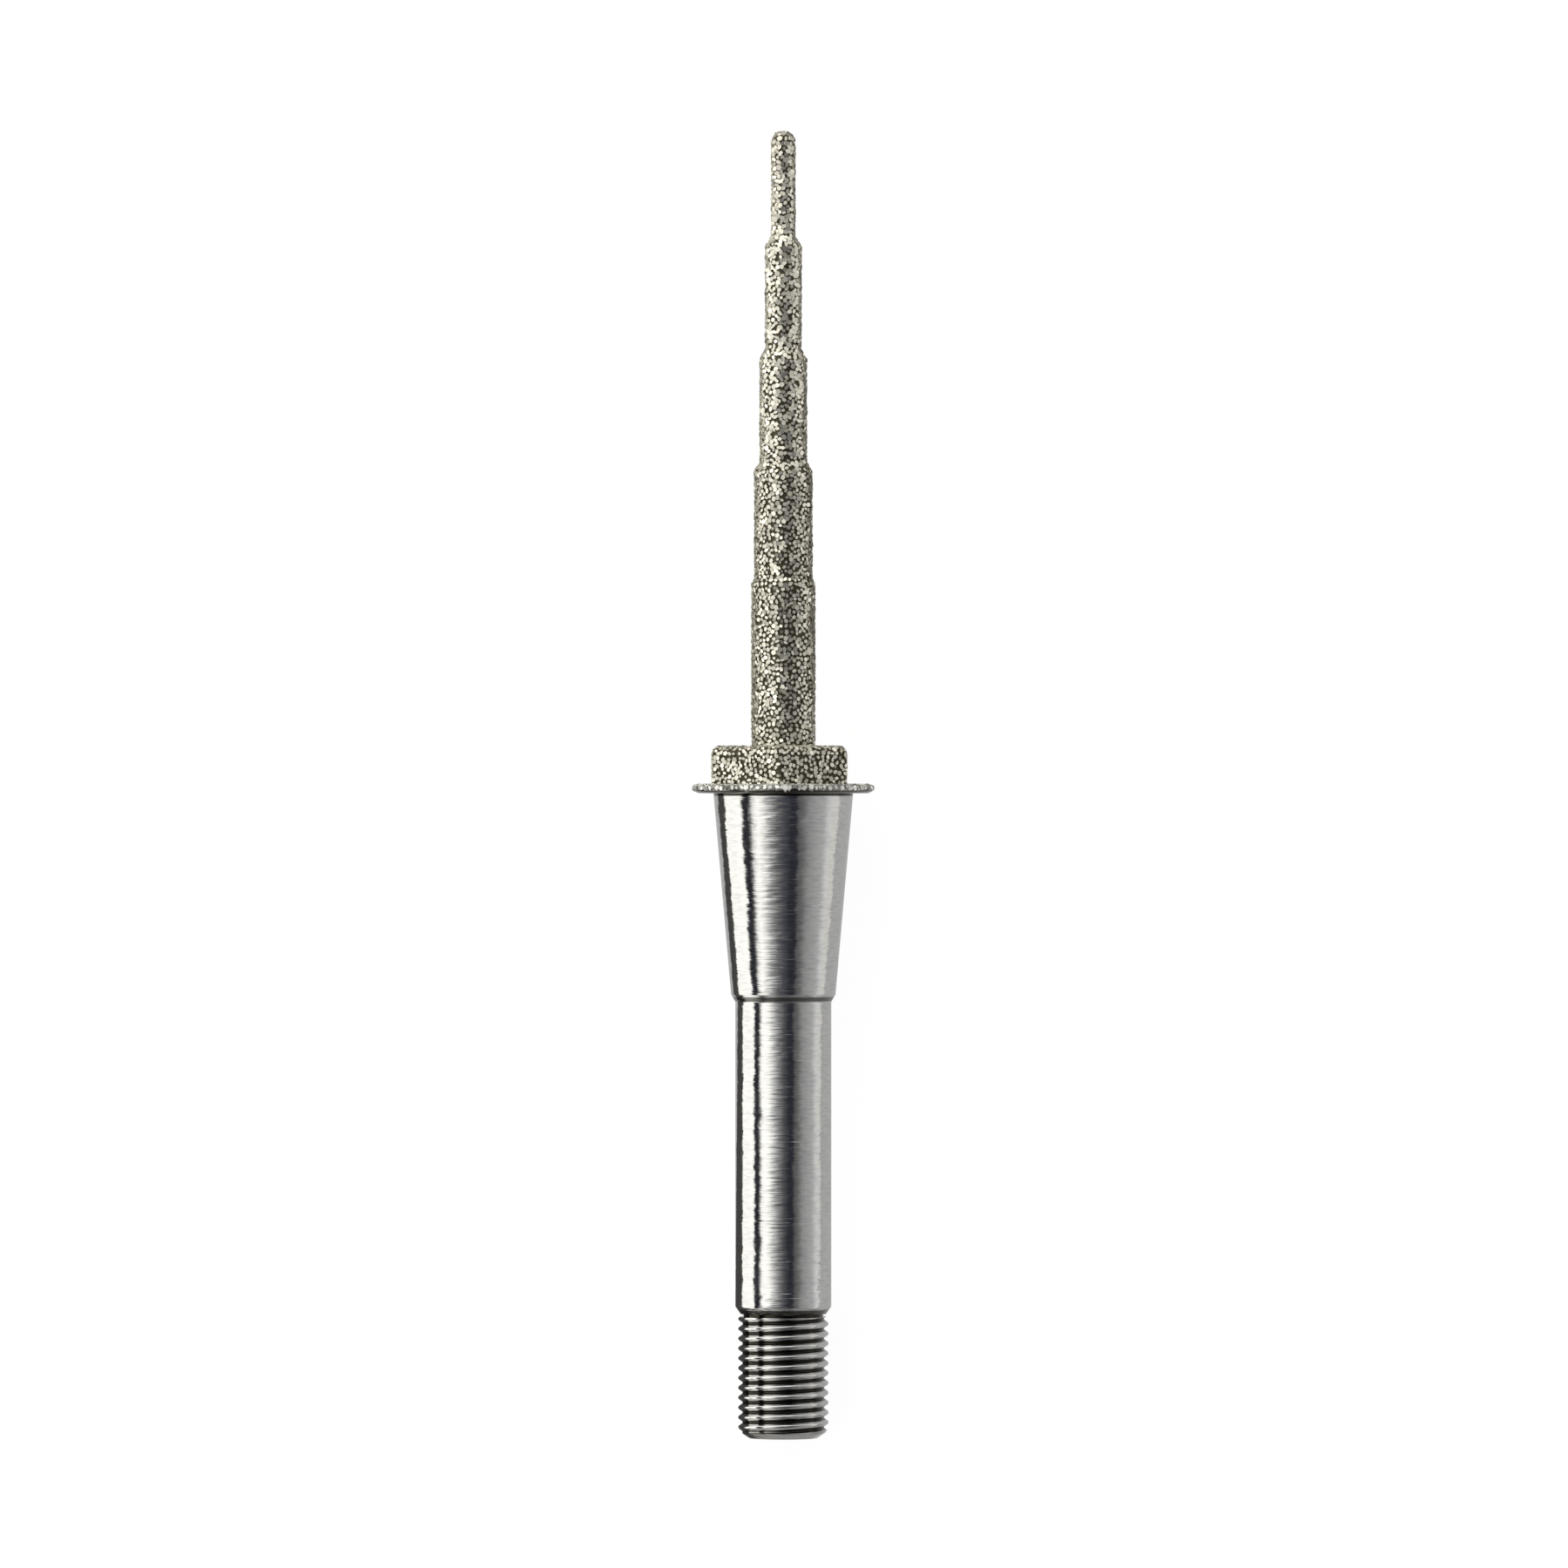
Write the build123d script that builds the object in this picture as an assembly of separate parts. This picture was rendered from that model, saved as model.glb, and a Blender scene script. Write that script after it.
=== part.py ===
from build123d import *
import math
import os

# Stepped bit for fine milling, turned from one piece of steel and plated with grit above the flange.
# Lengths are in millimetres. Heights run along the bit's axis, from the face of its threaded end.

# Threaded end, at the size over its crests: the fine helix is surface detail. It runs out in a neck
thread_diameter = 2.96
thread_length = 4.07
thread_chamfer = 0.36
neck_depth = 0.17
neck_width = 0.26

# Plain cylindrical shank, which stands out from the thread by a small step
shank_step = 0.095
shank_length = 10.23
shank_chamfer = 0.17
shank_chamfer_height = 0.24
shank_rounding = 0.12

# Tapered seat, which stands out from the shank and centres the bit in its holder
seat_step = 0.14
seat_length = 6.84
seat_side_angle = 5.0
seat_chamfer_angle = 30.0
seat_rounding = 0.10

# Flange, with a rim that is round all the way over its thickness
flange_diameter = 6.0
flange_thickness = 0.30

# Hexagon for the key, milled a little off the bit's axis as on the real one
hexagon_across_flats = 4.42
hexagon_height = 1.25
hexagon_runout = 0.13
hexagon_chamfer_width = 0.40
hexagon_chamfer_angle = 25.0
hexagon_edge_rounding = 0.06

# Stepped head over its grit: straight lengths and steps in radius, from the nose to the hexagon
nose_diameter = 0.79
step_straights = (3.45, 3.37, 3.38, 3.53, 5.31)
shoulder_steps = (0.20, 0.18, 0.18, 0.09)
shoulder_side_angle = 30.0
shoulder_rounding = 0.12
nose_rounding = 0.34

# Radii of the sections that stand out from each other
thread_radius = thread_diameter / 2
neck_radius = thread_radius - neck_depth
shank_radius = thread_radius + shank_step
seat_small_radius = shank_radius + seat_step

# Heights of the places where one section ends and the next begins
shank_base = thread_length
seat_base = shank_base + shank_length
flange_base = seat_base + seat_length
hexagon_base = flange_base + flange_thickness
head_base = hexagon_base + hexagon_height


def rise(radial_change, side_angle):
    """Height over which a cone of this side angle changes its radius by radial_change."""
    return radial_change / math.tan(math.radians(side_angle))


def turned(corners):
    """Solid turned from a half profile, each corner given as radius, height and rounding."""
    points = [(radius, height) for radius, height, rounding in corners]
    roundings = [rounding for radius, height, rounding in corners]
    outline = Plane.XZ * FilletPolyline(*points, radius=roundings, close=True)
    return revolve(make_face(outline), Axis.Z)


def shank_side():
    """Threaded end, neck, shank and tapered seat, turned as one profile up to the flange."""
    seat_chamfer_top = seat_base + rise(seat_step, seat_chamfer_angle)
    seat_height = flange_base - seat_chamfer_top
    seat_large_radius = seat_small_radius + seat_height * math.tan(math.radians(seat_side_angle))
    return turned([
        (0, 0, 0),
        (thread_radius - thread_chamfer, 0, 0),
        (thread_radius, thread_chamfer, 0),
        (thread_radius, thread_length - neck_width, 0),
        (neck_radius, thread_length - neck_width, 0),
        (neck_radius, shank_base, 0),
        (shank_radius - shank_chamfer, shank_base, 0),
        (shank_radius, shank_base + shank_chamfer_height, shank_rounding),
        (shank_radius, seat_base, 0),
        (seat_small_radius, seat_chamfer_top, seat_rounding),
        (seat_large_radius, flange_base, 0),
        (0, flange_base, 0),
    ])


def flange():
    """Disc whose rim is a half circle in section."""
    rim_rounding = flange_thickness / 2
    web_radius = flange_diameter / 2 - rim_rounding
    web = Rectangle(web_radius, flange_thickness, align=(Align.MIN, Align.CENTER))
    rim = Pos(web_radius, 0) * Circle(rim_rounding)
    section = Pos(0, flange_base + rim_rounding) * (web + rim)
    return revolve(Plane.XZ * section, Axis.Z)


def hexagon():
    """Hexagon with one edge to the front, its corners turned down to a cone as on a nut."""
    outline = RegularPolygon(hexagon_across_flats / 2, 6, major_radius=False)
    prism = extrude(outline, hexagon_height)
    prism = fillet(prism.edges().filter_by(Axis.Z), hexagon_edge_rounding)
    corner_radius = hexagon_across_flats / 2 / math.cos(math.radians(30))
    top_radius = hexagon_across_flats / 2 - hexagon_chamfer_width
    drop = (corner_radius - top_radius) * math.tan(math.radians(hexagon_chamfer_angle))
    blank = turned([
        (0, 0, 0),
        (corner_radius, 0, 0),
        (corner_radius, hexagon_height - drop, 0),
        (top_radius, hexagon_height, 0),
        (0, hexagon_height, 0),
    ])
    return Pos(0, hexagon_runout, hexagon_base) * (prism & blank)


def stepped_head():
    """Five straight steps joined by conical shoulders, profiled from the rounded nose down."""
    radius = nose_diameter / 2
    height = head_base + sum(step_straights) + rise(sum(shoulder_steps), shoulder_side_angle)
    corners = [(0, height, 0), (radius, height, nose_rounding)]
    for straight, step in zip(step_straights, shoulder_steps):
        height -= straight
        corners.append((radius, height, shoulder_rounding))
        radius += step
        height -= rise(step, shoulder_side_angle)
        corners.append((radius, height, shoulder_rounding))
    corners += [(radius, head_base, 0), (0, head_base, 0)]
    return turned(corners)


def lying_tilt():
    """Angle of the axis when the flange rim and a corner of the shank side touch the floor."""
    rim_rounding = flange_thickness / 2
    rim_radius = flange_diameter / 2 - rim_rounding
    rim_height = flange_base + rim_rounding
    corners = (
        (thread_radius - thread_chamfer, 0),
        (thread_radius, thread_chamfer),
        (shank_radius, shank_base + shank_chamfer_height),
        (seat_small_radius, seat_base),
    )
    tilts = []
    for radius, height in corners:
        drop = rim_radius - radius
        run = rim_height - height
        tilts.append(math.atan2(drop, run) + math.asin(rim_rounding / math.hypot(drop, run)))
    return math.degrees(min(tilts))


def laid_down(bit):
    """Bit lying along X with its nose towards +X, on the floor at the middle of its box."""
    lying = Rotation(0, 90 - lying_tilt(), 0) * bit
    box = lying.bounding_box()
    return Pos(-box.center().X, 0, -box.min.Z) * lying


step_bit = laid_down(shank_side() + flange() + hexagon() + stepped_head())
step_bit.label = "step_bit"

os.makedirs("parts", exist_ok=True)
export_step(step_bit, "parts/step_bit.step")
print(f"tilt {lying_tilt():.4f} degrees, volume {step_bit.volume:.2f} cubic millimetres")
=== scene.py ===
import math

import bpy
from mathutils import Matrix, Vector


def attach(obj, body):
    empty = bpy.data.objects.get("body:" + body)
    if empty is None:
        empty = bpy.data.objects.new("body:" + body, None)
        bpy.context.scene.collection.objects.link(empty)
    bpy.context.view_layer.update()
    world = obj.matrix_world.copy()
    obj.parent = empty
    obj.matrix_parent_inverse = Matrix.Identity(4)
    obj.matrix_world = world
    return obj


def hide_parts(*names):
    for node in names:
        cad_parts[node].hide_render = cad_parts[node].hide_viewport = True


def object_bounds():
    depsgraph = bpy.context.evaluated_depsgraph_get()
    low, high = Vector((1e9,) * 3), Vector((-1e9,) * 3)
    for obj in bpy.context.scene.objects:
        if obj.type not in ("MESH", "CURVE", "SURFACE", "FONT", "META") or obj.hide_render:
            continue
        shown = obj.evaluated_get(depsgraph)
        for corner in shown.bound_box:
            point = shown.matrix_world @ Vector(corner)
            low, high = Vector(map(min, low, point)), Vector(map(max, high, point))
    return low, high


# Stepped bit for fine milling: bright turned steel below the flange, nickel-bonded grit above it.
# Lengths are in millimetres until finish_piece lays a piece down in metres. Heights run along the bit's
# axis, from the face of its threaded end.

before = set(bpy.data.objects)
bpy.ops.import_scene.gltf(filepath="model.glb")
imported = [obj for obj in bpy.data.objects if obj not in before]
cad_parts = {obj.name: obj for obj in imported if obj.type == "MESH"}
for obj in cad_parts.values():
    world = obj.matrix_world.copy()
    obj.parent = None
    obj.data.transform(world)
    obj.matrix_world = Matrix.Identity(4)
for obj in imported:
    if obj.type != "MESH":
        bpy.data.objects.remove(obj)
cad_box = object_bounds()
MM = 0.001

# Threaded end. At the height THREAD_START the middle of a root crosses the bit's underside
THREAD_RADIUS = 1.48
THREAD_CHAMFER = 0.36
THREAD_PITCH = 0.323
THREAD_DEPTH = 0.14
THREAD_CREST = 0.075
THREAD_ROOT = 0.05
CREST_ROUNDING = THREAD_CREST * 0.7
ROOT_ROUNDING = THREAD_ROOT * 0.45
THREAD_START = 0.111
THREAD_END = 3.98
THREAD_SIDES = 96
NECK_RADIUS = 1.31

# Plain shank
SHANK_RADIUS = 1.575
SHANK_BASE = 4.07
SHANK_CHAMFER = 0.17
SHANK_CHAMFER_HEIGHT = 0.24
SHANK_ROUNDING = 0.12

# Tapered seat
SEAT_BASE = 14.30
SEAT_STEP = 0.14
SEAT_CHAMFER_ANGLE = math.radians(30)
SEAT_SIDE_ANGLE = math.radians(5)
SEAT_ROUNDING = 0.10

# Flange. Its rim is bevelled below and above, and bare of grit up to a height over its underside
FLANGE_BASE = 21.14
FLANGE_RADIUS = 3.0
FLANGE_THICKNESS = 0.30
RIM_BEVEL_WIDTH = 0.15
RIM_LOWER_BEVEL = 0.07
RIM_UPPER_BEVEL = 0.05
RIM_INNER_ROUNDING = 0.2
RIM_OUTER_ROUNDING = 0.04
RIM_BARE_HEIGHT = 0.14

# Hexagon, milled a little off the bit's axis
HEXAGON_ACROSS_FLATS = 4.42
HEXAGON_HEIGHT = 1.25
HEXAGON_RUNOUT = 0.13
HEXAGON_ROUNDING = 0.22

# Stepped head: straight lengths and steps in radius, from the nose to the hexagon
NOSE_RADIUS = 0.395
STEP_STRAIGHTS = (3.45, 3.37, 3.38, 3.53, 5.31)
SHOULDER_STEPS = (0.20, 0.18, 0.18, 0.09)
SHOULDER_SIDE_ANGLE = math.radians(30)
SHOULDER_ROUNDING = 0.12
NOSE_ROUNDING = 0.34
TIP_RADIUS = 0.02

# Grit: the crystals' tips lie on the CAD surface, and the metal that holds them lies under it. A crystal
# is stretched sideways and upwards between the least and the most, and the radius of its top is a share of
# its width. The crowding is how many are tried on a square as wide as their spacing
GRIT_HEIGHT = 0.055
GRIT_WIDTH = 0.2
GRIT_TOP = 0.38
GRIT_SIDES = 5
GRIT_SPACING = 0.12
GRIT_CROWDING = 6
GRIT_TILT = math.radians(12)
GRIT_LEAST = (0.6, 0.6, 0.85)
GRIT_MOST = (1.3, 1.3, 1.25)
GRIT_SEED = 7

# Heights between which the grains' tops get brighter and the grains broader towards the nose, by how much
NOSEWARD_HEIGHTS = (30, 36)
NOSEWARD_LIFT = 0.25
NOSE_GRIT = 1.15

# Painted shade deep in the thread's grooves: depths under its crests where it is full and where it ends,
# and the heights over the end face between which it sets in
GROOVE_SHADE = (0.12, 0.06)
GROOVE_SHADE_START = (0.12, 0.3)

# Painted shade in the corners between sections, where shadow falls: middle height, half the width and depth
# of each. Under the flange it sets in between these distances from the rim
SHADE_BANDS = ((4.12, 0.15, 0.9), (14.40, 0.1, 0.8), (21.14, 0.11, 1.0))
RIM_SHADE = (21.17, 0.09, 0.9)
RIM_SHADE_REACH = (0.25, 0.15)

# Marks left by turning: how high the strokes and the slow waves are against the rings, and the depth of all
STROKE_SHARE = 0.12
WAVE_SHARE = 0.15
MARK_DEPTH = 0.03

# Steel between the strokes and in them, and its roughness from the dullest patch to the brightest
STEEL_COLOURS = ((0.545, 0.545, 0.545, 1), (0.63, 0.63, 0.62, 1))
STEEL_ROUGHNESS = (0.12, 0.08)

# Grains: foot, darkened as painted shade between them, dullest top and brightest top, and roughness from
# the dullest to the brightest
HEAD_GRAINS = ((0.15, 0.138, 0.09, 1), (0.66, 0.635, 0.54, 1), (1.0, 0.965, 0.85, 1))
RIM_GRAINS = ((0.4, 0.395, 0.37, 1), (0.6, 0.6, 0.57, 1), (1.0, 0.99, 0.95, 1))
GRAIN_ROUGHNESS = (0.45, 0.3)

# Bond between the grains, darkened as painted shade in the pits; plating under the flange; painted shade
# colour
BOND_AND_PIT_SHADE = (0.1, 0.092, 0.06, 1)
PLATING_COLOUR = (0.3, 0.29, 0.26, 1)
SHADE_COLOUR = (0.03, 0.027, 0.02, 1)

# Floor: its width in metres, its grey, and the glow that it adds for the camera and for mirroring metal
FLOOR_WIDTH = 20.0
FLOOR_COLOUR = (0.2, 0.2, 0.2, 1)
SEEN_GLOW = 0.92
MIRRORED_GLOW = 0.45

# Tints of the light, and the strengths above which it is warm and up to which it is cool
WARM = (1.0, 0.985, 0.94)
NEUTRAL = (1.0, 1.0, 1.0)
COOL = (0.9, 0.94, 1.25)
WARM_ABOVE = 1
COOL_UP_TO = 0.12

# Light panels round the bit: angle about its axis from the camera to the image's right, strength square to
# the axis, as the shank mirrors it, and strength a little lower, as the tapered seat mirrors it
PANELS = (
    (-180, 1.68, 1.68),
    (-77, 1.68, 1.68),
    (-73, 0.03, 0.02),
    (-62, 0.03, 0.02),
    (-58.5, 0.4, 0.3),
    (-54, 1.6, 1.2),
    (-46, 1.75, 1.7),
    (-36, 1.7, 1.1),
    (-29, 1.4, 0.6),
    (-23, 0.95, 0.37),
    (-17, 0.64, 0.25),
    (-11, 0.38, 0.16),
    (0, 0.14, 0.09),
    (13, 0.045, 0.035),
    (23, 0.045, 0.035),
    (27, 0.13, 0.13),
    (35, 0.19, 0.19),
    (46, 0.39, 0.39),
    (62, 0.5, 0.5),
    (74, 0.58, 0.58),
    (83, 0.82, 0.82),
    (90, 0.92, 0.92),
    (180, 0.9, 0.9),
)
PANEL_MAXIMUM = 2.0

# How far towards the nose a direction points, from -1 to 1, where the light changes: from the seat's panels
# to the shank's, into the light beyond the nose, and out of the dimmer light beyond the thread
SEAT_TO_SHANK = (-0.16, -0.04)
NOSE_LIGHT = (0.25, 0.8)
THREAD_LIGHT = (-0.75, -0.24)

# Beyond the thread the panels keep a share of their strength, over an even fill
THREAD_SHARE = 0.3
THREAD_FILL = 0.16

# Beyond the nose the light keeps only a share on the right, past these shares of a full turn about the
# axis, of which a half is on the camera's side
NOSE_STRENGTH = 1.4
NOSE_LIGHT_TURN = (0.54, 0.66)
NOSE_RIGHT_SHARE = 0.25

# Cards over the floor, in layers: spans along the bit and to its left, from the middle of its box. The
# long ones are turned a little, and the white one begins at the card edge, where the dark one ends
CARD_LAYER = 0.01
CARD_TURN = math.radians(11.3)
CARD_REACH = 5000
CARD_EDGE = 9.7
DARK_CARD_WIDTH = 4.6
RIGHT_CARD_EDGE = -14
END_CARD_EDGE = -22
END_CARD_SIDE = 25
HEAD_SHADE_SPAN = (2, 40)
LEFT_SHADE = (0.5, 5.0)
RIGHT_SHADE = (-16, -1.0)

# Strength of each card's glow
WHITE_CARD = 1.6
RIGHT_CARD = 0.9
DARK_CARD = 0.08
END_CARD = 0.38
HEAD_SHADE = 0.05

# Picture: its width, the height on the bit's axis at its middle, and how far the axis is to one side
PHOTO_PIXELS = 1800
PIXELS_PER_MM = 35
FRAME_WIDTH = PHOTO_PIXELS / PIXELS_PER_MM
FRAME_MIDDLE = 21.446
FRAME_SIDE = -0.023
CAMERA_DISTANCE = 400
CLIP_NEAR = CAMERA_DISTANCE / 10
CLIP_FAR = CAMERA_DISTANCE * 100
SENSOR = 36.0

# Points closer than this are one, and a line longer than this gets a point near each of its ends
MERGE_DISTANCE = 0.0005
SUPPORT_DISTANCE = 0.03
LONG_LINE = 8 * SUPPORT_DISTANCE

# A face looks up or down where its normal points that way by more than this
FACING = 0.9

# The bit lies on the crest at the foot of its thread and on the flange's rim
FLANGE_MIDDLE = FLANGE_BASE + FLANGE_THICKNESS / 2
HEXAGON_BASE = FLANGE_BASE + FLANGE_THICKNESS
HEAD_BASE = HEXAGON_BASE + HEXAGON_HEIGHT
RIM_DROP = FLANGE_RADIUS - FLANGE_THICKNESS / 2 - THREAD_RADIUS
RIM_RUN = FLANGE_MIDDLE - THREAD_CHAMFER
TILT = math.atan2(RIM_DROP, RIM_RUN) + math.asin(FLANGE_THICKNESS / 2 / math.hypot(RIM_DROP, RIM_RUN))
AXIS = Vector((math.cos(TILT), 0, math.sin(TILT)))
UPWARD = Vector((-math.sin(TILT), 0, math.cos(TILT)))
RIGHTWARD = Vector((0, -1, 0))
END_FACE = Vector((
    cad_box[0].x + (THREAD_RADIUS - THREAD_CHAMFER) * math.sin(TILT) * MM,
    0,
    (THREAD_RADIUS * math.cos(TILT) - THREAD_CHAMFER * math.sin(TILT)) * MM,
))
LEAN = math.pi / 2 - TILT
LYING = Matrix.Translation(END_FACE) @ Matrix.Rotation(LEAN, 4, "Y") @ Matrix.Scale(MM, 4)


# Modelling, upright on the origin

def select_only(obj):
    """Makes one object the active and only selected one, in object mode."""
    bpy.ops.object.select_all(action="DESELECT")
    obj.select_set(True)
    bpy.context.view_layer.objects.active = obj


def named(name):
    """Names the object that an operator has just added."""
    obj = bpy.context.object
    obj.name = name
    obj.data.name = name
    return obj


def flat_square(name, size=1):
    """Square on the origin."""
    bpy.ops.object.select_all(action="DESELECT")
    bpy.ops.mesh.primitive_plane_add(size=size, location=(0, 0, 0))
    return named(name)


def apply_place(obj):
    """Puts an object's place, turn and size into its mesh."""
    select_only(obj)
    bpy.ops.object.transform_apply(location=True, rotation=True, scale=True)


def apply_modifier(obj, kind, **settings):
    """Adds a modifier with these settings and applies it."""
    select_only(obj)
    modifier = obj.modifiers.new(kind.lower(), kind)
    for name, value in settings.items():
        setattr(modifier, name, value)
    bpy.ops.object.modifier_apply(modifier=modifier.name)


def select_faces(obj, wanted):
    """Opens an object in edit mode, with only the faces selected that pass this test."""
    select_only(obj)
    bpy.ops.object.mode_set(mode="EDIT")
    bpy.ops.mesh.select_mode(type="FACE")
    bpy.ops.mesh.select_all(action="DESELECT")
    bpy.ops.object.mode_set(mode="OBJECT")
    for face in obj.data.polygons:
        face.select = wanted(face)
    bpy.ops.object.mode_set(mode="EDIT")


def looks_up(face):
    """Test for the top of the hexagon."""
    return face.normal.z > FACING


def looks_down(face):
    """Test for the hidden lower end of the head and of the hexagon."""
    return face.normal.z < -FACING


def below_rim_grit(face):
    """Test for the underside of the flange and the bare lower part of its rim."""
    return face.center.z < FLANGE_BASE + RIM_BARE_HEIGHT


def supported(profile):
    """Half profile with a further point close to each end of its long straight lines, for true shading."""
    points = [profile[0]]
    for start, end in zip(profile, profile[1:]):
        length = math.dist(start, end)
        if length > LONG_LINE:
            for share in (SUPPORT_DISTANCE / length, 1 - SUPPORT_DISTANCE / length):
                points.append(tuple(Vector(start).lerp(Vector(end), share)))
        points.append(end)
    return points


def rounded(corners, steps=5):
    """Half profile through corners given as radius, height and rounding, with arcs at the rounded ones."""
    points = []
    for i, (radius, height, rounding) in enumerate(corners):
        corner = Vector((radius, height))
        if rounding == 0:
            points.append(corner)
            continue
        back = (Vector(corners[i - 1][:2]) - corner).normalized()
        ahead = (Vector(corners[i + 1][:2]) - corner).normalized()
        half_angle = back.angle(ahead) / 2
        centre = corner + (back + ahead).normalized() * rounding / math.sin(half_angle)
        reach = rounding / math.tan(half_angle)
        first_arm = (corner + back * reach - centre).normalized()
        last_arm = (corner + ahead * reach - centre).normalized()
        for j in range(steps + 1):
            points.append(centre + first_arm.slerp(last_arm, j / steps) * rounding)
    return [tuple(point) for point in points]


def drawn(name, profile, base_height=0):
    """Open chain of points in the XZ plane, drawn from a half profile point by point."""
    obj = flat_square(name)
    bpy.ops.object.mode_set(mode="EDIT")
    bpy.ops.mesh.select_mode(type="VERT")
    bpy.ops.mesh.select_all(action="SELECT")
    bpy.ops.mesh.merge(type="CENTER")
    radius, height = profile[0]
    bpy.ops.transform.translate(value=(radius, 0, base_height + height))
    for next_radius, next_height in profile[1:]:
        step = (next_radius - radius, 0, next_height - height)
        bpy.ops.mesh.extrude_region_move(TRANSFORM_OT_translate={"value": step})
        radius, height = next_radius, next_height
    bpy.ops.object.mode_set(mode="OBJECT")
    return obj


def turned(name, profile, sides=128):
    """Solid turned on Z from a half profile, closed by a disc at each end."""
    obj = drawn(name, supported(profile))
    apply_modifier(obj, "SCREW", angle=math.tau, screw_offset=0, steps=sides, render_steps=sides)
    bpy.ops.object.mode_set(mode="EDIT")
    bpy.ops.mesh.select_all(action="SELECT")
    bpy.ops.mesh.fill_holes(sides=0)
    bpy.ops.mesh.select_all(action="SELECT")
    bpy.ops.mesh.normals_make_consistent(inside=False)
    bpy.ops.object.mode_set(mode="OBJECT")
    return obj


def cut_to_length(obj, low, high):
    """Merges the turns of an upright helix, cuts it off square at both heights and closes it."""
    bpy.ops.object.mode_set(mode="EDIT")
    bpy.ops.mesh.select_all(action="SELECT")
    bpy.ops.mesh.remove_doubles(threshold=MERGE_DISTANCE)
    for height, cleared in ((low, "clear_inner"), (high, "clear_outer")):
        bpy.ops.mesh.select_all(action="SELECT")
        bpy.ops.mesh.bisect(plane_co=(0, 0, height), plane_no=(0, 0, 1), threshold=MERGE_DISTANCE,
                            use_fill=True, **{cleared: True})
    bpy.ops.mesh.select_all(action="SELECT")
    bpy.ops.mesh.normals_make_consistent(inside=False)
    bpy.ops.object.mode_set(mode="OBJECT")


def combine(obj, other, operation):
    """Joins or intersects one solid with another, which is used up."""
    apply_modifier(obj, "BOOLEAN", operation=operation, solver="MANIFOLD", object=other)
    bpy.data.objects.remove(other)


def finish_piece(obj, material, smooth_angle=35):
    """Lays a finished piece down on the floor, with its shading, material and place in the table."""
    obj.matrix_world = LYING
    apply_place(obj)
    if smooth_angle:
        bpy.ops.object.shade_smooth_by_angle(angle=math.radians(smooth_angle))
    obj.data.materials.clear()
    obj.data.materials.append(material)
    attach(obj, "root")


def thread_blank():
    """Solid that trims the thread: chamfered to the end face, and wide of the crests above that."""
    margin = THREAD_CHAMFER
    return turned("thread_blank", rounded([
        (THREAD_RADIUS - THREAD_CHAMFER, 0, 0),
        (THREAD_RADIUS - THREAD_CHAMFER / 4, THREAD_CHAMFER / 2, THREAD_CHAMFER / 2),
        (THREAD_RADIUS + margin, THREAD_CHAMFER * 3, 0),
        (THREAD_RADIUS + margin, THREAD_END + margin, 0),
    ]))


def thread():
    """Helical thread over the end, cut square at the neck and chamfered at the end face."""
    root_radius = THREAD_RADIUS - THREAD_DEPTH
    flank = (THREAD_PITCH - THREAD_CREST - THREAD_ROOT) / 2
    crest_start = THREAD_ROOT / 2 + flank
    profile = rounded([
        (root_radius, 0, 0),
        (root_radius, THREAD_ROOT / 2, ROOT_ROUNDING),
        (THREAD_RADIUS, crest_start, CREST_ROUNDING),
        (THREAD_RADIUS, crest_start + THREAD_CREST, CREST_ROUNDING),
        (root_radius, THREAD_PITCH - THREAD_ROOT / 2, ROOT_ROUNDING),
        (root_radius, THREAD_PITCH, 0),
    ], steps=2)
    turns_below = 3
    turns = turns_below + math.ceil(THREAD_END / THREAD_PITCH) + 1
    obj = drawn("thread", profile, THREAD_START - turns_below * THREAD_PITCH)
    apply_modifier(obj, "SCREW", angle=math.tau, screw_offset=THREAD_PITCH, iterations=turns,
                   steps=THREAD_SIDES, render_steps=THREAD_SIDES, use_merge_vertices=False)
    cut_to_length(obj, 0, THREAD_END)
    combine(obj, thread_blank(), "INTERSECT")
    return obj


def shank_side():
    """Neck, shank and tapered seat, with the thread joined to them."""
    seat_small_radius = SHANK_RADIUS + SEAT_STEP
    seat_foot = SEAT_BASE + SEAT_STEP / math.tan(SEAT_CHAMFER_ANGLE)
    seat_large_radius = seat_small_radius + (FLANGE_BASE - seat_foot) * math.tan(SEAT_SIDE_ANGLE)
    buried = THREAD_DEPTH
    obj = turned("shank_and_seat", rounded([
        (NECK_RADIUS - buried, THREAD_END - buried, 0),
        (NECK_RADIUS, THREAD_END, 0),
        (NECK_RADIUS, SHANK_BASE, 0),
        (SHANK_RADIUS - SHANK_CHAMFER, SHANK_BASE, 0),
        (SHANK_RADIUS, SHANK_BASE + SHANK_CHAMFER_HEIGHT, SHANK_ROUNDING),
        (SHANK_RADIUS, SEAT_BASE, 0),
        (seat_small_radius, seat_foot, SEAT_ROUNDING),
        (seat_large_radius, FLANGE_BASE, 0),
        (seat_large_radius, FLANGE_MIDDLE, 0),
    ]))
    combine(obj, thread(), "UNION")
    return obj


def flange_core():
    """Disc with a bevelled rim, under its grit."""
    radius = FLANGE_RADIUS - GRIT_HEIGHT * GRIT_MOST[2]
    top = HEXAGON_BASE - GRIT_HEIGHT
    return turned("flange", rounded([
        (NECK_RADIUS, FLANGE_BASE, 0),
        (radius - RIM_BEVEL_WIDTH, FLANGE_BASE, RIM_INNER_ROUNDING),
        (radius, FLANGE_BASE + RIM_LOWER_BEVEL, RIM_OUTER_ROUNDING),
        (radius, top - RIM_UPPER_BEVEL, RIM_OUTER_ROUNDING),
        (radius - RIM_BEVEL_WIDTH, top, RIM_INNER_ROUNDING),
        (NECK_RADIUS, top, 0),
    ], steps=4))


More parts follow.
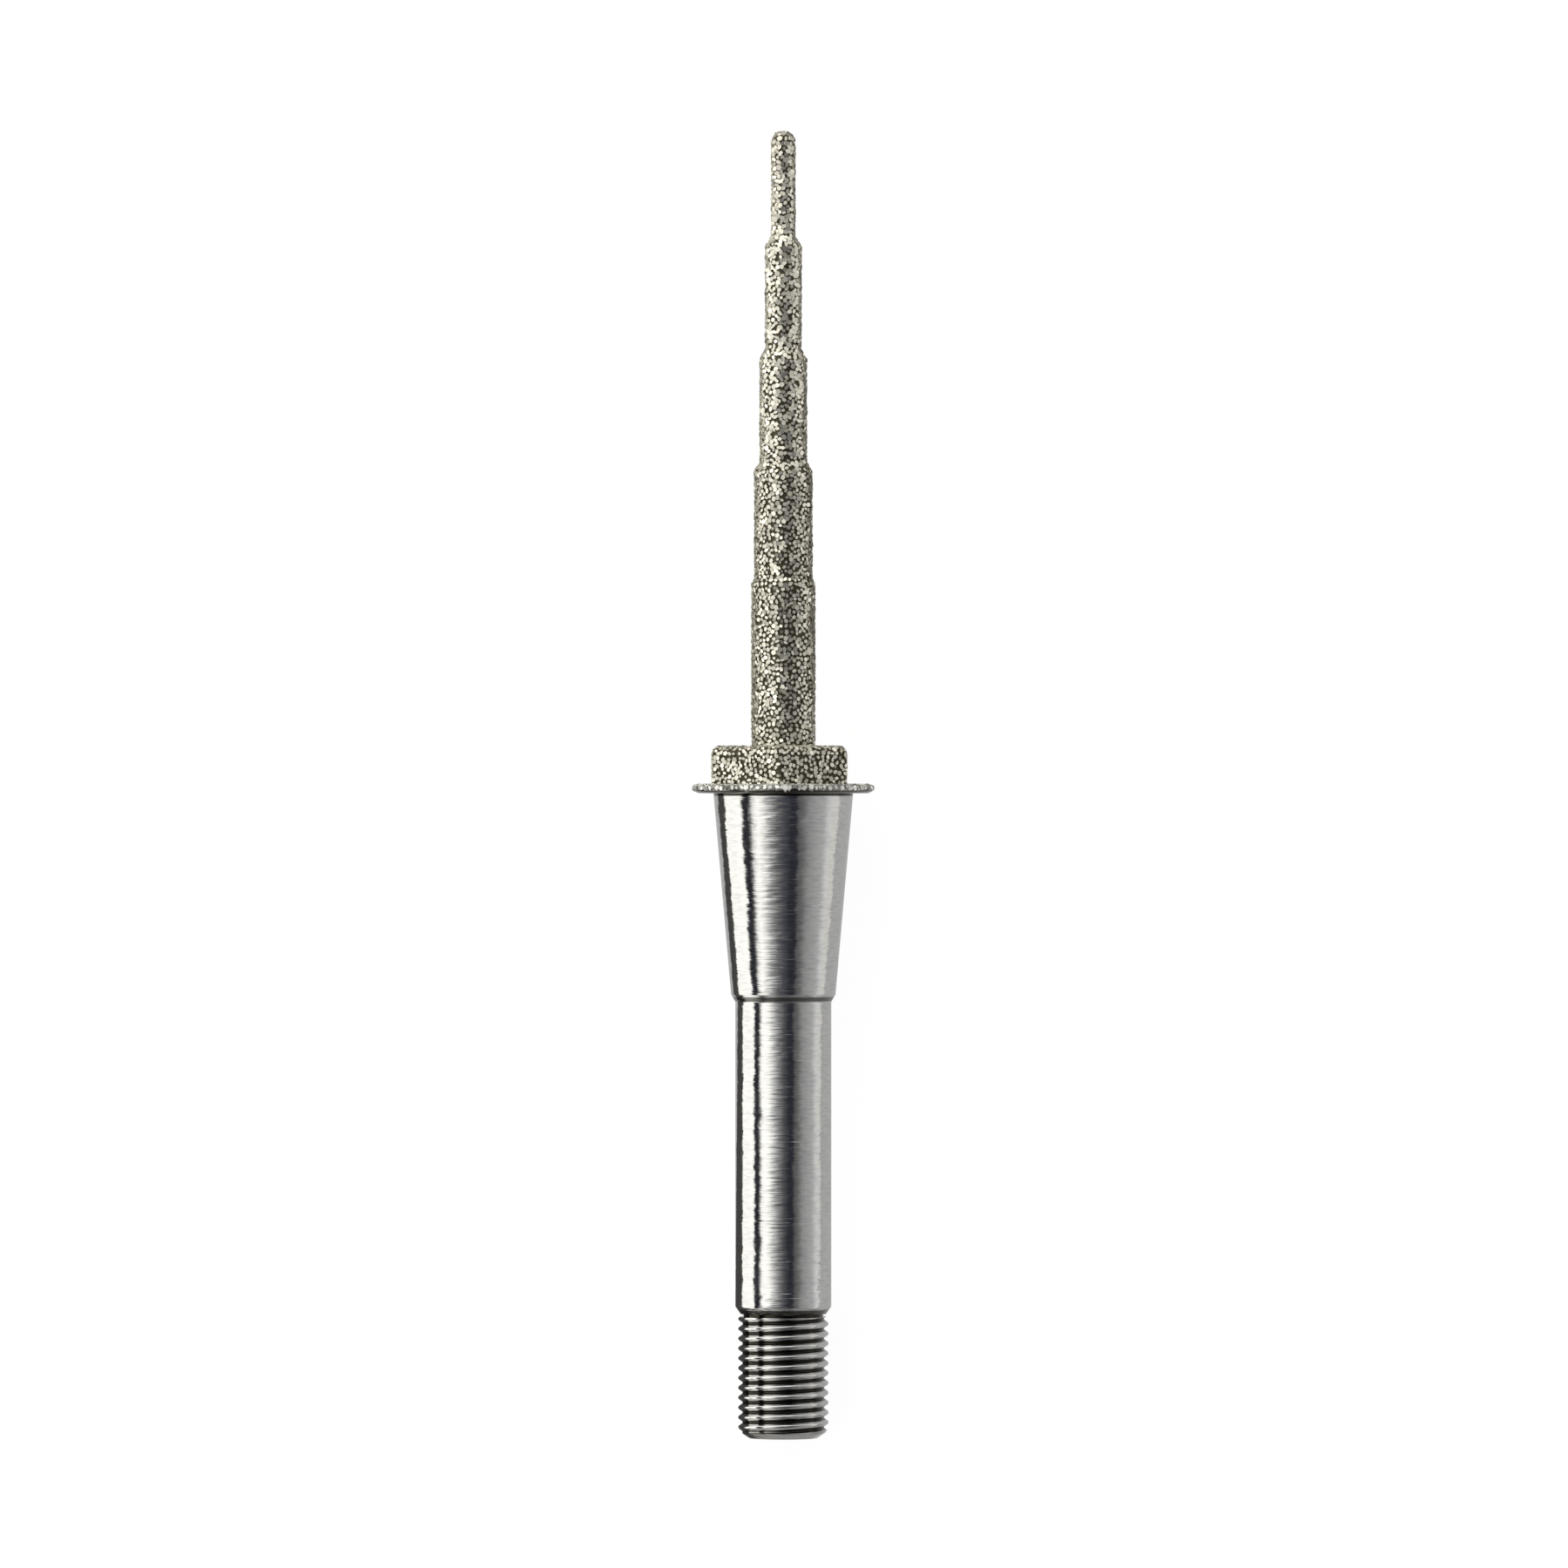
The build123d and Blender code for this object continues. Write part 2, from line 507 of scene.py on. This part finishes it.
def hexagon_core():
    """Hexagon for the key, its top edge rounded, under its grit."""
    flat_distance = HEXAGON_ACROSS_FLATS / 2 - GRIT_HEIGHT
    corner_distance = flat_distance / math.cos(math.radians(30))
    height = HEXAGON_HEIGHT - GRIT_HEIGHT
    bpy.ops.object.select_all(action="DESELECT")
    bpy.ops.mesh.primitive_cylinder_add(
        vertices=6, radius=corner_distance, depth=height + FLANGE_THICKNESS / 2,
        location=(0, 0, HEXAGON_BASE + height / 2 - FLANGE_THICKNESS / 4),
        rotation=(0, 0, math.radians(90)))
    obj = named("hexagon")
    apply_place(obj)
    select_faces(obj, looks_up)
    bpy.ops.mesh.bevel(offset=HEXAGON_ROUNDING, segments=3, affect="EDGES")
    bpy.ops.object.mode_set(mode="OBJECT")
    obj.matrix_world = Matrix.Translation((0, HEXAGON_RUNOUT, 0))
    apply_place(obj)
    return obj


def head_core():
    """Five straight steps joined by conical shoulders, under their grit."""
    radius = NOSE_RADIUS - GRIT_HEIGHT
    height = HEAD_BASE + sum(STEP_STRAIGHTS) + sum(SHOULDER_STEPS) / math.tan(SHOULDER_SIDE_ANGLE)
    corners = [
        (TIP_RADIUS, height - GRIT_HEIGHT, 0),
        (radius, height - GRIT_HEIGHT, NOSE_ROUNDING - GRIT_HEIGHT),
    ]
    for straight, step in zip(STEP_STRAIGHTS, SHOULDER_STEPS):
        height -= straight
        corners.append((radius, height, SHOULDER_ROUNDING))
        radius += step
        height -= step / math.tan(SHOULDER_SIDE_ANGLE)
        corners.append((radius, height, SHOULDER_ROUNDING))
    buried = GRIT_HEIGHT * 2
    corners.append((radius, HEAD_BASE - buried, 0))
    return turned("stepped_head", rounded(corners[::-1]))


def crystal():
    """One grain of grit: a low block whose sides lean in to its flat top, marked there as risen."""
    bpy.ops.object.select_all(action="DESELECT")
    bpy.ops.mesh.primitive_cone_add(
        vertices=GRIT_SIDES, radius1=GRIT_WIDTH / 2, radius2=GRIT_WIDTH * GRIT_TOP, depth=GRIT_HEIGHT * 2)
    obj = named("crystal")
    rise = obj.data.attributes.new("grain_rise", "FLOAT", "POINT")
    for vertex in obj.data.vertices:
        rise.data[vertex.index].value = vertex.co.z > 0
    return obj


def grit_on(core, scatter, bare):
    """Grit over a core as a piece of its own, apart from the faces that the test for bare ones finds."""
    grit = core.copy()
    grit.data = core.data.copy()
    bpy.context.collection.objects.link(grit)
    grit.name = core.name + "_grit"
    grit.data.name = grit.name
    select_faces(grit, bare)
    bpy.ops.mesh.delete(type="FACE")
    bpy.ops.object.mode_set(mode="OBJECT")
    apply_modifier(grit, "NODES", node_group=scatter)
    return grit


# Nodes

def add_node(tree, kind, inputs=(), **settings):
    """Adds a node with its settings, and with a value or a link for each input named."""
    made = tree.nodes.new(kind)
    for name, value in settings.items():
        setattr(made, name, value)
    for key, value in dict(inputs).items():
        if isinstance(value, bpy.types.NodeSocket):
            tree.links.new(value, made.inputs[key])
        else:
            made.inputs[key].default_value = value
    return made


def node(tree, kind, inputs=(), **settings):
    """Adds a node of the shader family and gives its outputs."""
    return add_node(tree, "ShaderNode" + kind, inputs, **settings).outputs


def maths(tree, operation, *values, clamp=False):
    """Result of a sum on single values."""
    return node(tree, "Math", enumerate(values), operation=operation, use_clamp=clamp)[0]


def ranged(tree, value, limits, to=(0.0, 1.0), smooth=False):
    """Value carried over from between two limits to between two others, and kept inside them."""
    return node(tree, "MapRange", {
        "Value": value,
        "From Min": limits[0],
        "From Max": limits[1],
        "To Min": to[0],
        "To Max": to[1],
    }, interpolation_type="SMOOTHSTEP" if smooth else "LINEAR")[0]


def mixed(tree, share, first, second):
    """Colour between a first and a second one, by the share of the second."""
    return node(tree, "MixRGB", {0: share, 1: first, 2: second})[0]


def new_group(name, inputs, outputs):
    """Shader node group with these named sockets, and what its inputs give."""
    tree = bpy.data.node_groups.new(name, "ShaderNodeTree")
    for socket_name, kind, value in inputs:
        socket = tree.interface.new_socket(socket_name, in_out="INPUT", socket_type="NodeSocket" + kind)
        if value is not None:
            socket.default_value = value
    for socket_name in outputs:
        tree.interface.new_socket(socket_name, in_out="OUTPUT", socket_type="NodeSocketFloat")
    return tree, add_node(tree, "NodeGroupInput").outputs


def use_group(tree, group, inputs):
    """Places a node group in a tree and gives its outputs."""
    return node(tree, "Group", inputs, node_tree=group)


def random_vector(tree, least, most, seed):
    """Vector drawn for each grain, each part of it between a least and a most."""
    return add_node(tree, "FunctionNodeRandomValue", {
        "Min": least, "Max": most, "Seed": seed}, data_type="FLOAT_VECTOR").outputs[0]


def grain_turn(tree, upright):
    """Turn of each grain from upright on the surface: any way round, and leaning a little."""
    least = (-GRIT_TILT, -GRIT_TILT, 0)
    most = (GRIT_TILT, GRIT_TILT, math.tau)
    lean = random_vector(tree, least, most, GRIT_SEED + 1)
    return add_node(tree, "FunctionNodeRotateRotation", {
        "Rotation": upright, "Rotate By": lean}, rotation_space="LOCAL").outputs[0]


def grain_size(tree):
    """Size of each grain: stretched at random, and broader towards the nose."""
    stretch = random_vector(tree, GRIT_LEAST, GRIT_MOST, GRIT_SEED + 2)
    place = add_node(tree, "GeometryNodeInputPosition").outputs[0]
    height = node(tree, "SeparateXYZ", {"Vector": place})["Z"]
    breadth = ranged(tree, height, NOSEWARD_HEIGHTS, to=(1.0, NOSE_GRIT))
    broader = node(tree, "CombineXYZ", {"X": breadth, "Y": breadth, "Z": 1.0})[0]
    return node(tree, "VectorMath", {0: stretch, 1: broader}, operation="MULTIPLY")[0]


def grit_scatter(grain):
    """Node tree that sets turned and stretched copies of a grain all over a surface."""
    tree = bpy.data.node_groups.new("grit_scatter", "GeometryNodeTree")
    for way in ("INPUT", "OUTPUT"):
        tree.interface.new_socket("Geometry", in_out=way, socket_type="NodeSocketGeometry")
    surface = add_node(tree, "NodeGroupInput").outputs["Geometry"]
    points = add_node(tree, "GeometryNodeDistributePointsOnFaces", {
        "Mesh": surface,
        "Distance Min": GRIT_SPACING,
        "Density Max": GRIT_CROWDING / GRIT_SPACING ** 2,
        "Seed": GRIT_SEED,
    }, distribute_method="POISSON").outputs
    shape = add_node(tree, "GeometryNodeObjectInfo", {"Object": grain}).outputs["Geometry"]
    grains = add_node(tree, "GeometryNodeInstanceOnPoints", {
        "Points": points["Points"],
        "Instance": shape,
        "Rotation": grain_turn(tree, points["Rotation"]),
        "Scale": grain_size(tree),
    }).outputs["Instances"]
    tone = add_node(tree, "FunctionNodeRandomValue", {"Seed": GRIT_SEED + 3}).outputs[1]
    toned = add_node(tree, "GeometryNodeStoreNamedAttribute", {
        "Geometry": grains,
        "Name": "grain_tone",
        "Value": tone,
    }, data_type="FLOAT", domain="INSTANCE").outputs["Geometry"]
    real = add_node(tree, "GeometryNodeRealizeInstances", {"Geometry": toned}).outputs["Geometry"]
    add_node(tree, "NodeGroupOutput", {"Geometry": real})
    return tree


# Materials

def new_material(name, **constants):
    """Material with one Principled shader, its constants set on the shader's own sockets."""
    material = bpy.data.materials.new(name)
    material.use_nodes = True
    shader = material.node_tree.nodes["Principled BSDF"]
    for socket, value in constants.items():
        shader.inputs[socket.replace("_", " ")].default_value = value
    return material


def feed(material, **values):
    """Links values that change over the surface to a material's shader."""
    tree = material.node_tree
    shader = tree.nodes["Principled BSDF"]
    for socket, value in values.items():
        tree.links.new(value, shader.inputs[socket.replace("_", " ")])


def upright_place(tree):
    """Object coordinates turned and moved so that Z runs up the bit from its end face."""
    place = node(tree, "TexCoord")["Object"]
    return node(tree, "Mapping", {
        "Vector": place, "Location": END_FACE, "Rotation": (0, LEAN, 0)}, vector_type="TEXTURE")[0]


def millimetres(tree, place):
    """X, Y and Z in millimetres of a place given in metres."""
    scaled = node(tree, "VectorMath", {0: place, "Scale": 1 / MM}, operation="SCALE")["Vector"]
    return node(tree, "SeparateXYZ", {"Vector": scaled})


def axis_distance(tree, parts):
    """Distance from the axis of a place given by its parts."""
    flat = node(tree, "CombineXYZ", {"X": parts["X"], "Y": parts["Y"]})[0]
    return node(tree, "VectorMath", {0: flat}, operation="LENGTH")["Value"]


def marks_noise(tree, place, around, along, roughness):
    """Noise with this many marks per millimetre around and along the bit."""
    stretched = node(tree, "VectorMath", {0: place, 1: (around, around, along)}, operation="MULTIPLY")[0]
    return node(tree, "TexNoise", {
        "Vector": stretched, "Scale": 1.0, "Detail": 2.0, "Roughness": roughness})[0]


def turning_marks_group():
    """Marks left by turning and polishing, from places in metres measured upright on the bit.

    They run round the bit on its sides and in rings on its flat faces, so their third coordinate goes
    along its profile: up its height and out along its radius. Their patches are deeper and brighter.
    """
    tree, inputs = new_group(
        "turning_marks", (("Place", "Vector", None),), ("Height", "Strokes", "Patches"))
    parts = millimetres(tree, inputs["Place"])
    beyond_shank = maths(tree, "SUBTRACT", axis_distance(tree, parts), SHANK_RADIUS)
    way = maths(tree, "ADD", parts["Z"], beyond_shank)
    place = node(tree, "CombineXYZ", {"X": parts["X"], "Y": parts["Y"], "Z": way})[0]
    rings = marks_noise(tree, place, around=0.6, along=9.0, roughness=0.6)
    strokes = marks_noise(tree, place, around=2.4, along=13.0, roughness=0.6)
    patches = marks_noise(tree, place, around=0.7, along=1.6, roughness=0.6)
    waves = marks_noise(tree, place, around=0.9, along=0.9, roughness=0.5)
    depth = ranged(tree, patches, (0.4, 0.62), to=(0.35, 1.0))
    marked = maths(tree, "MULTIPLY", rings, depth)
    stroked = maths(tree, "MULTIPLY_ADD", strokes, STROKE_SHARE, marked)
    height = maths(tree, "MULTIPLY_ADD", waves, WAVE_SHARE, stroked)
    add_node(tree, "NodeGroupOutput", {"Height": height, "Strokes": strokes, "Patches": patches})
    return tree


def band_group():
    """Soft-edged mask over a band of heights."""
    tree, inputs = new_group(
        "height_band",
        (
            ("Height", "Float", None),
            ("Middle", "Float", 0.0),
            ("Half width", "Float", 0.1),
            ("Depth", "Float", 1.0),
        ),
        ("Mask",),
    )
    distance = maths(tree, "ABSOLUTE", maths(tree, "SUBTRACT", inputs["Height"], inputs["Middle"]))
    share = maths(tree, "DIVIDE", distance, inputs["Half width"])
    mask = ranged(tree, share, (0.5, 1.0), to=(inputs["Depth"], 0.0), smooth=True)
    add_node(tree, "NodeGroupOutput", {"Mask": mask})
    return tree


def band_mask(tree, band, height, place):
    """Mask of one band, whose place is its middle height, half its width and its depth."""
    middle, half_width, depth = place
    return use_group(tree, band, {
        "Height": height, "Middle": middle, "Half width": half_width, "Depth": depth})["Mask"]


def painted_shade_mask(tree, place, band):
    """Where shade is painted: deep in the thread, and in the corners between sections."""
    parts = millimetres(tree, place)
    groove_limits = [THREAD_RADIUS - depth for depth in GROOVE_SHADE]
    groove = ranged(tree, axis_distance(tree, parts), groove_limits, to=(1.0, 0.0), smooth=True)
    above_end = ranged(tree, parts["Z"], GROOVE_SHADE_START, smooth=True)
    mask = maths(tree, "MULTIPLY", groove, above_end)
    for corner in SHADE_BANDS:
        mask = maths(tree, "MAXIMUM", mask, band_mask(tree, band, parts["Z"], corner))
    return mask


def turned_steel(marks, band):
    """Bright ground steel with fine marks round the axis, and painted shade in its grooves and corners."""
    material = new_material("turned_steel", Metallic=1.0)
    tree = material.node_tree
    place = upright_place(tree)
    made = use_group(tree, marks, {"Place": place})
    metal = mixed(tree, ranged(tree, made["Strokes"], (0.36, 0.56)), *STEEL_COLOURS)
    feed(
        material,
        # painted shade in the thread's grooves and in the corners between sections
        Base_Color=mixed(tree, painted_shade_mask(tree, place, band), metal, SHADE_COLOUR),
        Roughness=ranged(tree, made["Patches"], (0.35, 0.65), to=STEEL_ROUGHNESS),
        Normal=node(tree, "Bump", {
            "Height": made["Height"], "Strength": 1.0, "Distance": MARK_DEPTH * MM})[0],
    )
    return material


def plated_metal(band):
    """Plating over the underside of the flange, where no grit is set, with painted shade at the rim's lower
    edge.
    """
    material = new_material("plated_metal", Metallic=1.0, Roughness=0.15)
    tree = material.node_tree
    parts = millimetres(tree, upright_place(tree))
    # painted shade along the rim's lower edge, towards its outside
    lower = band_mask(tree, band, parts["Z"], RIM_SHADE)
    outer_limits = [FLANGE_RADIUS - inset for inset in RIM_SHADE_REACH]
    outer = ranged(tree, axis_distance(tree, parts), outer_limits)
    rim_shade = maths(tree, "MULTIPLY", lower, outer)
    feed(material, Base_Color=mixed(tree, rim_shade, PLATING_COLOUR, SHADE_COLOUR))
    return material


def grit_metal(name, foot, dull, bright):
    """Plated grains, with painted shade at the foot, duller or brighter on top, and brighter towards the
    nose.
    """
    material = new_material(name, Metallic=1.0)
    tree = material.node_tree
    tone = node(tree, "Attribute", attribute_name="grain_tone")["Fac"]
    rise = node(tree, "Attribute", attribute_name="grain_rise")["Fac"]
    height = millimetres(tree, upright_place(tree))["Z"]
    lift = ranged(tree, height, NOSEWARD_HEIGHTS, to=(0.0, NOSEWARD_LIFT))
    top = mixed(tree, maths(tree, "ADD", tone, lift, clamp=True), dull, bright)
    feed(
        material,
        # painted shade: the grains darken towards their foot
        Base_Color=mixed(tree, ranged(tree, rise, (0.45, 1.0)), foot, top),
        Roughness=ranged(tree, tone, (0.0, 1.0), to=GRAIN_ROUGHNESS),
    )
    return material


# Studio

def glowing_material(name):
    """Material whose nodes are still to be made, and its tree."""
    material = bpy.data.materials.new(name)
    material.use_nodes = True
    material.node_tree.nodes.clear()
    return material, material.node_tree


def floor():
    """Pale floor, white to the camera apart from the bit's soft shadow."""
    obj = flat_square("floor", FLOOR_WIDTH)
    material, tree = glowing_material("pale_floor")
    ray = node(tree, "LightPath")
    seen = maths(tree, "MULTIPLY", ray["Is Camera Ray"], SEEN_GLOW)
    lift = maths(tree, "MULTIPLY_ADD", ray["Is Glossy Ray"], MIRRORED_GLOW, seen)
    diffuse = node(tree, "BsdfDiffuse", {"Color": FLOOR_COLOUR})[0]
    glow = node(tree, "Emission", {"Strength": lift})[0]
    both = node(tree, "AddShader", {0: diffuse, 1: glow})[0]
    node(tree, "OutputMaterial", {"Surface": both})
    obj.data.materials.append(material)


def card(name, strength, along, across, layer, turn=CARD_TURN):
    """Card just over the floor that only the metal mirrors, turned about the middle of the bit's box."""
    obj = flat_square(name)
    low, high = (Vector(corner) for corner in zip(along, across))
    middle = (low + high) / 2
    size = high - low
    obj.matrix_world = (
        Matrix.Scale(MM, 4)
        @ Matrix.Rotation(turn, 4, "Z")
        @ Matrix.Translation((middle.x, middle.y, layer * CARD_LAYER))
        @ Matrix.Diagonal((size.x, size.y, 1, 1))
    )
    apply_place(obj)
    material, tree = glowing_material(name)
    glow = node(tree, "Emission", {"Color": (*WARM, 1), "Strength": strength})[0]
    node(tree, "OutputMaterial", {"Surface": glow})
    obj.data.materials.append(material)
    obj.visible_camera = False
    obj.visible_diffuse = False
    obj.visible_transmission = False
    obj.visible_volume_scatter = False
    obj.visible_shadow = False


def cards():
    """Cards that the steel mirrors as its strips, and the shade on both sides of the head."""
    all_along = (-CARD_REACH, CARD_REACH)
    card("white_card", WHITE_CARD, all_along, (CARD_EDGE, CARD_REACH), layer=1)
    card("right_card", RIGHT_CARD, all_along, (-CARD_REACH, RIGHT_CARD_EDGE), layer=1)
    card("dark_card", DARK_CARD, all_along, (CARD_EDGE - DARK_CARD_WIDTH, CARD_EDGE), layer=2)
    card("end_card", END_CARD, (-CARD_REACH, END_CARD_EDGE), (-END_CARD_SIDE, END_CARD_SIDE), layer=3)
    card("left_shade", HEAD_SHADE, HEAD_SHADE_SPAN, LEFT_SHADE, layer=4, turn=0)
    card("right_shade", HEAD_SHADE, HEAD_SHADE_SPAN, RIGHT_SHADE, layer=4, turn=0)


def tint(strength):
    """Light is warm where it is bright and cool where it is dark."""
    if strength > WARM_ABOVE:
        return WARM
    return NEUTRAL if strength > COOL_UP_TO else COOL


def light_colour(tint_shares, strength):
    """Colour of light of a tint, as a share of the panels' greatest strength."""
    return [strength / PANEL_MAXIMUM * share for share in tint_shares] + [1]


def panel_ramp(tree, turn, column):
    """Colour ramp over the turn about the axis, from one column of the panels."""
    ramp = add_node(tree, "ShaderNodeValToRGB", {0: turn})
    elements = ramp.color_ramp.elements
    for i, row in enumerate(PANELS):
        position = (row[0] + 180) / 360
        element = elements[i] if i < 2 else elements.new(position)
        element.position = position
        element.color = light_colour(tint(row[column]), row[column])
    return ramp.outputs[0]


def towards(tree, direction, aim):
    """How far a direction points towards an aim, from -1 to 1."""
    return node(tree, "VectorMath", {0: direction, 1: aim}, operation="DOT_PRODUCT")["Value"]


def studio():
    """Panels of light and dark that run along the bit, seen as white by the camera itself."""
    world = bpy.data.worlds.new("studio")
    bpy.context.scene.world = world
    world.use_nodes = True
    tree = world.node_tree
    tree.nodes.clear()
    direction = node(tree, "TexCoord")["Generated"]
    along = towards(tree, direction, AXIS)
    angle = maths(tree, "ARCTAN2", towards(tree, direction, RIGHTWARD), towards(tree, direction, UPWARD))
    turn = ranged(tree, angle, (-math.pi, math.pi))
    shank_panels = panel_ramp(tree, turn, 1)
    seat_panels = panel_ramp(tree, turn, 2)
    beside = mixed(tree, ranged(tree, along, SEAT_TO_SHANK, smooth=True), seat_panels, shank_panels)
    ahead = ranged(tree, along, NOSE_LIGHT, smooth=True)
    rightward = ranged(tree, turn, NOSE_LIGHT_TURN, to=(1.0, NOSE_RIGHT_SHARE))
    nose_share = maths(tree, "MULTIPLY", ahead, rightward)
    panels = mixed(tree, nose_share, beside, light_colour(WARM, NOSE_STRENGTH))
    dimmed = ranged(tree, along, THREAD_LIGHT, to=(THREAD_SHARE, 1.0), smooth=True)
    strength = maths(tree, "MULTIPLY", dimmed, PANEL_MAXIMUM)
    light = node(tree, "Background", {"Color": panels, "Strength": strength})[0]
    fill_strength = ranged(tree, along, THREAD_LIGHT, to=(THREAD_FILL, 0.0), smooth=True)
    fill = node(tree, "Background", {"Color": (*NEUTRAL, 1), "Strength": fill_strength})[0]
    lit = node(tree, "AddShader", {0: light, 1: fill})[0]
    white = node(tree, "Background", {"Color": (*NEUTRAL, 1), "Strength": 1.0})[0]
    seen = node(tree, "MixShader", {0: node(tree, "LightPath")["Is Camera Ray"], 1: lit, 2: white})[0]
    node(tree, "OutputWorld", {"Surface": seen})


def camera():
    """Camera square above the bit's axis, with the nose at the top of the picture."""
    data = bpy.data.cameras.new("camera")
    obj = bpy.data.objects.new("camera", data)
    bpy.context.collection.objects.link(obj)
    data.sensor_width = SENSOR
    data.lens = SENSOR * CAMERA_DISTANCE / FRAME_WIDTH
    data.clip_start = CLIP_NEAR * MM
    data.clip_end = CLIP_FAR * MM
    middle = END_FACE + (AXIS * FRAME_MIDDLE + Vector((0, FRAME_SIDE, 0))) * MM
    place = middle + UPWARD * CAMERA_DISTANCE * MM
    turn = Matrix((RIGHTWARD, AXIS, UPWARD)).transposed().to_4x4()
    obj.matrix_world = Matrix.Translation(place) @ turn
    bpy.context.scene.camera = obj


band = band_group()
steel = turned_steel(turning_marks_group(), band)
# The bond's dark colour is painted shade in the pits between the grains
bond = new_material("bond_metal", Base_Color=BOND_AND_PIT_SHADE, Metallic=0.9, Roughness=0.5)
plating = plated_metal(band)
head_grit = grit_metal("grit_metal", *HEAD_GRAINS)
rim_grit = grit_metal("rim_grit_metal", *RIM_GRAINS)

body = shank_side()
finish_piece(body, steel)
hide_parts("step_bit")

grain = crystal()
scatter = grit_scatter(grain)
plated = (
    (head_core(), looks_down, bond, head_grit),
    (hexagon_core(), looks_down, bond, head_grit),
    (flange_core(), below_rim_grit, plating, rim_grit),
)
for core, bare, core_material, grit_material in plated:
    crystals = grit_on(core, scatter, bare)
    finish_piece(core, core_material)
    finish_piece(crystals, grit_material, smooth_angle=0)
bpy.data.objects.remove(grain)

floor()
cards()
studio()
camera()
bpy.context.scene.view_settings.view_transform = "Standard"
